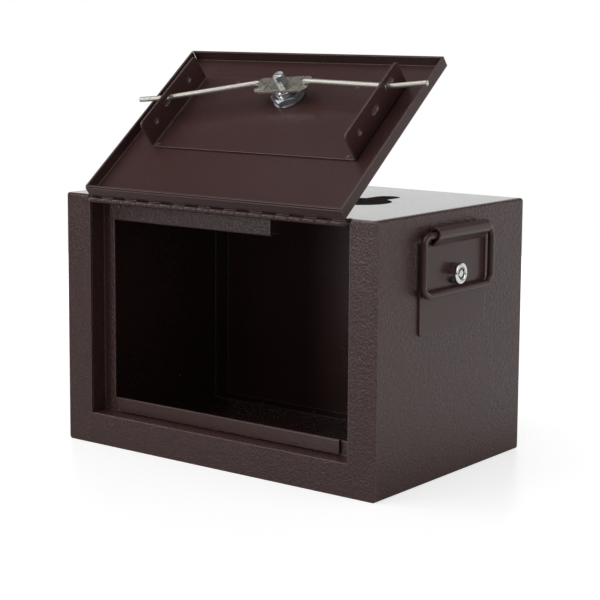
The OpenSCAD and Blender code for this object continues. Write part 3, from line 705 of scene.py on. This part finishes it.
class KEYBOX_OT_lid_lock(bpy.types.Operator):
    """Lid lock with threaded barrel, nut, plug, spring washer and slotted screw"""

    bl_idname = "keybox.lid_lock"
    bl_label = "Make Lid Lock"

    def execute(self, context):
        locks = settings().locks
        head, skin, end = -0.9 * MM, 2.3 * MM, 17.2 * MM
        bore = 5.0 * MM
        barrel_r, head_r, bevel = 9.4 * MM, 11.0 * MM, 0.8 * MM
        core = barrel_r - 0.45 * MM
        barrel = turned([
            (bore, head), (head_r - bevel, head), (head_r - 0.25 * MM, head + 0.3 * MM),
            (head_r, head + bevel), (head_r, skin), (core, skin), (core, end - 0.3 * MM),
            (core - 0.3 * MM, end), (bore, end)], 72, ring_shut=True)
        add_piece("lid_lock_body", to_mesh("lid_lock_body", [barrel], LATCH), "lid",
                  "chrome_plate", ("lid_lock_barrel",))
        thread("lid_lock_thread", skin + 3.0 * MM, end - 0.2 * MM, barrel_r, LATCH, "lid",
               "chrome_plate", locks.pitch)

        low, flange, high = 5.3 * MM, 6.5 * MM, 11.8 * MM
        hole = 9.5 * MM
        nut = [(hole, low), (12.6 * MM, low), (13.0 * MM, low + 0.4 * MM),
               (13.0 * MM, flange - 0.3 * MM), (12.7 * MM, flange)]
        hexagon = chamfered_hexagon(24.0 * MM, flange, high, hole + 0.4 * MM)
        nut += hexagon[1:-1] + [(hole + 0.5 * MM, high), (hole, high - 0.5 * MM)]
        add_piece("lid_lock_hex_nut",
                  to_mesh("lid_lock_hex_nut", [turned(nut, 96, ring_shut=True)], LATCH),
                  "lid", "zinc_plate", ("lid_lock_nut",))

        tilt = LATCH @ Matrix.Rotation(CAM_TILT, 4, "Z")
        face = head + 0.5 * MM
        flipped = LATCH @ Matrix.Rotation(math.pi, 4, "X")
        cam_low, tang_top = 17.4 * MM, 24.4 * MM
        plug = plug_shell(-cam_low, -face, 4.85 * MM, locks)
        plug_mesh = to_mesh("lid_lock_core", [plug], flipped)
        add_piece("lid_lock_core", plug_mesh, "latch", "chrome_plate",
                  ("lid_lock_plug",))
        key_pins("lid_lock_pins", -face, flipped, "latch", locks)

        half, soft = 3.3 * MM, 0.5 * MM
        tang = []
        for height in (cam_low - 0.1 * MM, tang_top - 0.2 * MM, tang_top):
            cut = soft if height < tang_top else soft + 0.2 * MM
            reach = half if height < tang_top else half - 0.2 * MM
            tang.append([(sx * (reach - a), sy * (reach - b), height)
                         for sx, sy, a, b in ((1, 1, 0, cut), (1, 1, cut, 0), (-1, 1, cut, 0),
                                              (-1, 1, 0, cut), (-1, -1, 0, cut), (-1, -1, cut, 0),
                                              (1, -1, cut, 0), (1, -1, 0, cut))])
        corners = [corner for row in tang for corner in row]
        faces = [[r * 8 + k, r * 8 + (k + 1) % 8, r * 8 + 8 + (k + 1) % 8, r * 8 + 8 + k]
                 for r in range(2) for k in range(8)]
        faces += [list(range(8))[::-1], list(range(16, 24))]
        add_piece("latch_square_tang", to_mesh("latch_square_tang", [(corners, faces)], tilt),
                  "latch", "zinc_plate")

        add_piece("latch_spring_washer",
                  to_mesh("latch_spring_washer", [split_ring(**WASHER)], tilt, 30.0),
                  "latch", "zinc_plate", ("latch_cam_washer",))
        add_piece("latch_slotted_screw",
                  to_mesh("latch_slotted_screw", slotted_screw(**CAM_SCREW), tilt, 30.0),
                  "latch", "zinc_plate", ("latch_cam_screw",))
        return {"FINISHED"}


def split_ring(inner, outer, low, thick):
    """Spring washer: a flat ring with a slanted slit, its ends a little apart in height."""
    count, slit, rise = 48, math.radians(12.0), 0.18
    corners, faces = [], []
    for i in range(count + 1):
        angle = slit / 2 + (2 * math.pi - slit) * i / count
        lift = rise * (i / count)
        for radius, height in ((inner, 0.0), (outer, 0.0), (outer, thick - rise),
                               (inner, thick - rise)):
            corners.append((radius * MM * math.cos(angle), radius * MM * math.sin(angle),
                            (low + lift + height) * MM))
    for i in range(count):
        for k in range(4):
            a, b = 4 * i + k, 4 * i + (k + 1) % 4
            faces.append([a, b, b + 4, a + 4])
    faces += [[3, 2, 1, 0], [4 * count + k for k in range(4)]]
    return corners, faces


def slotted_screw(seat, head, across, tip):
    """Hexagon head with a straight slot, over a shank down to tip; heights in mm."""
    slot_w, slot_d = 0.6, 1.1
    top = seat + head
    wanted = chamfered_hexagon(across * MM, seat * MM, (top - slot_d) * MM, 0.0)
    base = turned(wanted[:2] + [(across * 0.6 * MM, (top - slot_d) * MM, across * MM),
                                (0.0, (top - slot_d) * MM)], 72)
    shells = [base, turned([(0.0, tip * MM), (2.5 * MM, tip * MM), (2.5 * MM, seat * MM),
                            (0.0, seat * MM)], 40)]
    reach = across / 2 / math.cos(math.pi / 6)
    drop, steps = (reach - across / 2) * 0.55, 4
    around = 24
    levels = [(reach, top - slot_d)]
    levels += [(reach - (reach - across / 2) * i / steps, top - drop + drop * i / steps)
               for i in range(steps + 1)]
    for side in (1, -1):
        rows = []
        for limit, height in levels:
            row = []
            start = math.asin(min(1.0, slot_w / limit))
            for k in range(around + 1):
                angle = start + (math.pi - 2 * start) * k / around
                off = (angle + math.pi / 6) % (math.pi / 3) - math.pi / 6
                radius = min(limit, across / 2 / math.cos(off))
                row.append((radius * math.cos(angle) * MM,
                            side * max(slot_w, radius * math.sin(angle)) * MM, height * MM))
            rows.append(row)
        corners = [corner for row in rows for corner in row]
        faces = []
        per = around + 1
        for r in range(len(rows) - 1):
            for k in range(per):
                a, b = per * r + k, per * r + (k + 1) % per
                faces.append([a, b, b + per, a + per])
        faces += [list(range(per))[::-1], list(range(len(corners) - per, len(corners)))]
        shells.append((corners, faces))
    return shells


class KEYBOX_OT_side_lock(bpy.types.Operator):
    """Round side lock with its ring keyway and pins"""

    bl_idname = "keybox.side_lock"
    bl_label = "Make Side Lock"

    def execute(self, context):
        locks = settings().locks
        back, plate, tip = 140.5 * MM, 154.0 * MM, 161.1 * MM
        bore, neck, outer = 5.0 * MM, 6.85 * MM, 8.0 * MM
        barrel = turned([
            (bore, back), (neck - 0.3 * MM, back), (neck, back + 0.3 * MM), (neck, plate),
            (outer, plate), (outer, tip - 0.8 * MM), (outer - 0.1 * MM, tip - 0.5 * MM),
            (outer - 0.35 * MM, tip - 0.2 * MM), (outer - 0.8 * MM, tip),
            (bore + 0.5 * MM, tip), (bore + 0.15 * MM, tip - 0.15 * MM),
            (bore, tip - 0.5 * MM)], 80, ring_shut=True)
        add_piece("side_lock_body", to_mesh("side_lock_body", [barrel], SIDE_LOCK), "case",
                  "chrome_plate", ("side_lock_barrel",))
        thread("side_lock_thread", back + 0.3 * MM, 147.4 * MM, 7.3 * MM, SIDE_LOCK, "case",
               "chrome_plate", locks.pitch)
        face = tip - 0.5 * MM
        plug = plug_shell(140.3 * MM, face, 4.85 * MM, locks)
        add_piece("side_lock_core", to_mesh("side_lock_core", [plug], SIDE_LOCK), "side_cam",
                  "chrome_plate", ("side_lock_plug",))
        key_pins("side_lock_pins", face, SIDE_LOCK, "side_cam", locks)
        return {"FINISHED"}


class KEYBOX_OT_hinge(bpy.types.Operator):
    """Piano hinge: two leaves with alternate rolled knuckles"""

    bl_idname = "keybox.hinge"
    bl_label = "Make Hinge"

    def execute(self, context):
        hinge = settings().hinge
        pitch = hinge.length / hinge.knuckles
        wide = pitch - hinge.gap
        knuckle = template("rolled_knuckle", [rolled_knuckle(hinge, wide)])
        tree = row_tree()
        upright = axes(Vector((1, 0, 0)), Vector((0, 1, 0)), Vector((0, 0, 1)), HINGE_AT)
        # The lid's leaf stands off the lid's face: its y runs along the lid's normal
        turned_up = LID @ axes(Vector((1, 0, 0)), Vector((0, 0, 1)), Vector((0, 1, 0)),
                               Vector((0, 0, 0)))
        leaves = (("case", "hinge_case_leaf", 0, 14.0 * MM, upright),
                  ("lid", "hinge_lid_leaf", 1, 11.3 * MM, turned_up))
        for body, node, first, width, place in leaves:
            start = -hinge.length / 2 + first * pitch + hinge.gap / 2
            name = body + "_hinge_leaf"
            row = tree.bake(name, empty_mesh(name), None,
                            Count=hinge.knuckles // 2, Start=(start, 0.0, 0.0),
                            Pitch=(2 * pitch, 0.0, 0.0), Shape=knuckle,
                            Material=finishes()["powder_coat_smooth"])
            plate = plate_shell(-hinge.length / 2, hinge.length / 2, hinge.radius + 0.4 * MM,
                                width, hinge.radius - hinge.leaf, hinge.radius)
            mesh = joined(name, [row, to_mesh(name, [plate], Matrix.Identity(4))], place)
            add_piece(name, mesh, body, "powder_coat_smooth", (node,))
        bpy.data.objects.remove(knuckle)
        return {"FINISHED"}


def joined(name, meshes, matrix):
    """One mesh from several, placed by a matrix, with its faces turned outwards."""
    bm = bmesh.new()
    for mesh in meshes:
        bm.from_mesh(mesh)
    bm.transform(matrix)
    bmesh.ops.recalc_face_normals(bm, faces=bm.faces)
    mesh = bpy.data.meshes.new(name)
    bm.to_mesh(mesh)
    bm.free()
    mesh.shade_smooth()
    mesh.set_sharp_from_angle(angle=math.radians(35.0))
    return mesh


def rolled_knuckle(hinge, wide):
    """Sheet rolled round the pin: x from 0 to wide, the leaf runs off along +y at the top."""
    outer, inner = hinge.radius, hinge.radius - hinge.leaf
    reach = hinge.radius + 1.4 * MM
    steps = 26
    # From the leaf's root over the front and back up to the seam
    sweep = [math.pi / 2 + math.radians(330.0) * i / steps for i in range(steps + 1)]
    outside = [(reach, outer)] + [(outer * math.cos(a), outer * math.sin(a)) for a in sweep]
    inside = [(reach, inner)] + [(inner * math.cos(a), inner * math.sin(a)) for a in sweep]
    count = len(outside)
    corners, faces = [], []
    soft = 0.15 * MM
    for x, shrink in ((0.0, soft), (soft, 0.0), (wide - soft, 0.0), (wide, soft)):
        for near, far in zip(outside, inside):
            corners.append((x, near[0] - shrink * near[0] / outer * 0.5,
                            near[1] - shrink * near[1] / outer * 0.5))
            corners.append((x, far[0], far[1]))
    per = 2 * count
    for r in range(3):
        for i in range(count - 1):
            for k, flip in ((0, 1), (1, -1)):
                a = r * per + 2 * i + k
                faces.append([a, a + 2, a + 2 + per, a + per][::flip])
        for i in (0, count - 1):
            a = r * per + 2 * i
            faces.append([a, a + 1, a + 1 + per, a + per])
    for r in (0, 3):
        for i in range(count - 1):
            a = r * per + 2 * i
            faces.append([a, a + 1, a + 3, a + 2])
    return corners, faces


def plate_shell(x0, x1, y0, y1, z0, z1):
    """Flat plate between six planes, with its long outer edge a little rounded."""
    soft = (z1 - z0) * 0.3
    outline = [(y0, z0), (y1 - soft, z0), (y1, z0 + soft), (y1, z1 - soft), (y1 - soft, z1),
               (y0, z1)]
    corners = [(x, y, z) for x in (x0, x1) for y, z in outline]
    n = len(outline)
    faces = [[k, (k + 1) % n, n + (k + 1) % n, n + k] for k in range(n)]
    faces += [list(range(n))[::-1], list(range(n, 2 * n))]
    return corners, faces


class KEYBOX_OT_spot_welds(bpy.types.Operator):
    """Marks of the spot welds on the lid and the case"""

    bl_idname = "keybox.spot_welds"
    bl_label = "Make Spot Welds"

    def execute(self, context):
        weld = settings().welds
        rings = [(0.0, 0.25 * weld.height), (0.35 * weld.radius, 0.3 * weld.height),
                 (0.62 * weld.radius, 0.9 * weld.height), (0.78 * weld.radius, weld.height),
                 (0.92 * weld.radius, 0.55 * weld.height), (weld.radius, 0.0),
                 (weld.radius, -0.05 * MM), (0.0, -0.05 * MM)]
        mark = template("weld_mark", [turned(rings, 28)])
        tree = weld_tree()
        right, up = Vector((1, 0, 0)), Vector((0, 0, 1))
        groups = {
            "lid": [(LID @ (Vector(place) * MM), LID_NORMAL)
                    for place in BRACKET_WELDS + HINGE_WELDS],
            "case": [(Vector(place) * MM, right) for place in SIDE_WELDS]
                    + [(Vector(place) * MM, up) for place in FLOOR_WELDS],
        }
        for body, marks in groups.items():
            name = body + "_spot_welds"
            mesh = empty_mesh(name, [point for point, _ in marks])
            aim = mesh.attributes.new("aim", "FLOAT_VECTOR", "POINT")
            for slot, (_, direction) in zip(aim.data, marks):
                slot.vector = direction
            made = tree.bake(name, mesh, Shape=mark,
                             Material=finishes()["powder_coat_smooth"])
            add_piece(name, made, body, "powder_coat_smooth")
        bpy.data.objects.remove(mark)
        return {"FINISHED"}


# ---- Stage ----


def stage_material(stage):
    """Pale matt floor that views and reflections see as white, with the object's shadow."""
    material, tree = new_material("studio_white")
    light_path = tree.tree.nodes.new("ShaderNodeLightPath")
    camera = Value(tree, light_path.outputs["Is Camera Ray"])
    glossy = Value(tree, light_path.outputs["Is Glossy Ray"])
    clear = Value(tree, light_path.outputs["Is Transmission Ray"])
    tone = stage.floor_tone
    surface = tree.add("ShaderNodeBsdfPrincipled", inputs={
        "Base Color": (tone, tone, tone, 1.0), "Roughness": 0.32, "IOR": 1.3})
    place = tree.add("ShaderNodeTexCoord", output=3)
    reach = tree.add("ShaderNodeVectorMath", {"operation": "LENGTH"}, {0: place}, 1)
    # Gloss sees a brighter floor to the right of the object
    rightwards = tree.add("ShaderNodeVectorMath", {"operation": "DOT_PRODUCT"},
                          {0: place, 1: (0.9, 0.3, 0.0)}, 1)
    lit = tree.add("ShaderNodeMapRange", {"interpolation_type": "SMOOTHSTEP"},
                   {"Value": rightwards, "From Min": 0.12, "From Max": 0.3, "To Max": 0.4})
    rise = tree.add("ShaderNodeMapRange", {"interpolation_type": "SMOOTHSTEP"}, {
        "Value": reach, "From Min": 0.35, "From Max": 1.0,
        "To Min": stage.floor_glow, "To Max": 1.0})
    glow = tree.add("ShaderNodeEmission", inputs={
        "Color": (1.0, 1.0, 1.0, 1.0), "Strength": rise * camera.most(clear) + glossy * lit})
    both = tree.add("ShaderNodeAddShader", inputs={0: surface, 1: glow})
    tree.add("ShaderNodeOutputMaterial", inputs={"Surface": both})
    return material


def floor_mesh(stage):
    """Round floor under the object; past its edge the world is as white."""
    bm = bmesh.new()
    bmesh.ops.create_circle(bm, cap_ends=True, segments=96, radius=stage.floor_radius)
    mesh = bpy.data.meshes.new("studio_floor")
    bm.to_mesh(mesh)
    bm.free()
    return mesh


def soft_light(name, place, aim, size, power, tone=(1.0, 1.0, 1.0)):
    lamp = bpy.data.lights.new(name, "AREA")
    lamp.shape = "RECTANGLE"
    lamp.size, lamp.size_y = size
    lamp.energy, lamp.color = power, tone
    holder = bpy.data.objects.new(name, lamp)
    bpy.context.scene.collection.objects.link(holder)
    holder.location = place
    holder.rotation_euler = (Vector(aim) - Vector(place)).to_track_quat("-Z", "Y").to_euler()
    return holder


class KEYBOX_OT_stage(bpy.types.Operator):
    """White floor, soft lights, world and camera"""

    bl_idname = "keybox.stage"
    bl_label = "Make Stage"

    def execute(self, context):
        stage = settings().stage
        scene = context.scene
        floor = bpy.data.objects.new("studio_floor", floor_mesh(stage))
        scene.collection.objects.link(floor)
        floor.data.materials.append(stage_material(stage))

        world = bpy.data.worlds.new("studio")
        world.use_nodes = True
        scene.world = world
        tree = Tree(world.node_tree)
        light_path = tree.tree.nodes.new("ShaderNodeLightPath")
        camera_ray = Value(tree, light_path.outputs["Is Camera Ray"])
        glossy_ray = Value(tree, light_path.outputs["Is Glossy Ray"])
        direction = tree.add("ShaderNodeTexCoord", output=0)
        height = tree.add("ShaderNodeSeparateXYZ", inputs={"Vector": direction}, output=2)
        low = tree.add("ShaderNodeMapRange", {"interpolation_type": "SMOOTHSTEP"},
                       {"Value": height, "From Min": 0.16, "From Max": 0.5,
                        "To Min": 1.0, "To Max": 0.0})
        backwards = tree.add("ShaderNodeVectorMath", {"operation": "DOT_PRODUCT"},
                             {0: direction, 1: AWAY}, 1)
        behind = tree.add("ShaderNodeMapRange", {"interpolation_type": "SMOOTHSTEP"},
                          {"Value": backwards, "From Min": 0.0, "From Max": 0.6})
        fall = low * behind * (1.0 - stage.high_glow) + stage.high_glow
        diffuse = (1.0 - camera_ray.most(glossy_ray)) * stage.sky
        sky = tree.add("ShaderNodeBackground", inputs={
            "Color": (1.0, 1.0, 1.0, 1.0), "Strength": diffuse + camera_ray + glossy_ray * fall})
        tree.add("ShaderNodeOutputWorld", inputs={"Surface": sky})

        aim = (0.0, 0.0, 0.12)
        soft_light("top_softbox", (-0.3, -0.9, 2.2), aim, (2.2, 2.2), 26.0)
        soft_light("left_softbox", (-1.9, -1.0, 1.2), aim, (1.2, 1.4), 12.0)
        soft_light("right_softbox", (1.7, 0.5, 0.6), aim, (1.2, 1.0), 8.5)
        soft_light("front_strip", (-0.62, -1.3, 0.32), aim, (0.25, 0.6), 3.0)

        camera = bpy.data.cameras.new("photo_camera")
        camera.sensor_width, camera.lens = 36.0, stage.lens
        camera.clip_start, camera.clip_end = 0.02, 60.0
        holder = bpy.data.objects.new("photo_camera", camera)
        scene.collection.objects.link(holder)
        camera.shift_y = stage.shift
        level = Euler((math.radians(90.0 + CAMERA_PITCH), 0.0,
                       math.radians(CAMERA_YAW))).to_matrix()
        roll = Matrix.Rotation(math.radians(CAMERA_ROLL), 3, "Z")
        holder.rotation_euler = (level @ roll).to_euler()
        holder.location = CAMERA_AT
        scene.camera = holder
        scene.view_settings.view_transform = "Standard"
        return {"FINISHED"}


class KEYBOX_PT_panel(bpy.types.Panel):
    bl_label = "Key Drop Box"
    bl_idname = "KEYBOX_PT_panel"
    bl_space_type = "VIEW_3D"
    bl_region_type = "UI"
    bl_category = "Key Box"

    def draw(self, context):
        groups = context.scene.key_box
        for operator in OPERATORS:
            self.layout.operator(operator.bl_idname)
        for key in KeyBoxSettings.__annotations__:
            box = self.layout.box()
            box.label(text=key.capitalize())
            group = getattr(groups, key)
            for name in type(group).__annotations__:
                box.prop(group, name)


OPERATORS = (
    KEYBOX_OT_sheet_metal,
    KEYBOX_OT_latch_rods,
    KEYBOX_OT_lid_lock,
    KEYBOX_OT_side_lock,
    KEYBOX_OT_hinge,
    KEYBOX_OT_spot_welds,
    KEYBOX_OT_stage,
)
CLASSES = (
    PaintSettings, PlatingSettings, RodSettings, LockSettings, HingeSettings, WeldSettings,
    StageSettings, KeyBoxSettings, *OPERATORS, KEYBOX_PT_panel,
)


def register():
    for cls in CLASSES:
        bpy.utils.register_class(cls)
    bpy.types.Scene.key_box = PointerProperty(type=KeyBoxSettings)


def unregister():
    del bpy.types.Scene.key_box
    for cls in reversed(CLASSES):
        bpy.utils.unregister_class(cls)


def main():
    register()
    for operator in OPERATORS:
        group, name = operator.bl_idname.split(".")
        if getattr(getattr(bpy.ops, group), name)() != {"FINISHED"}:
            raise RuntimeError(operator.bl_idname + " didn't finish")


if __name__ == "__main__":
    main()
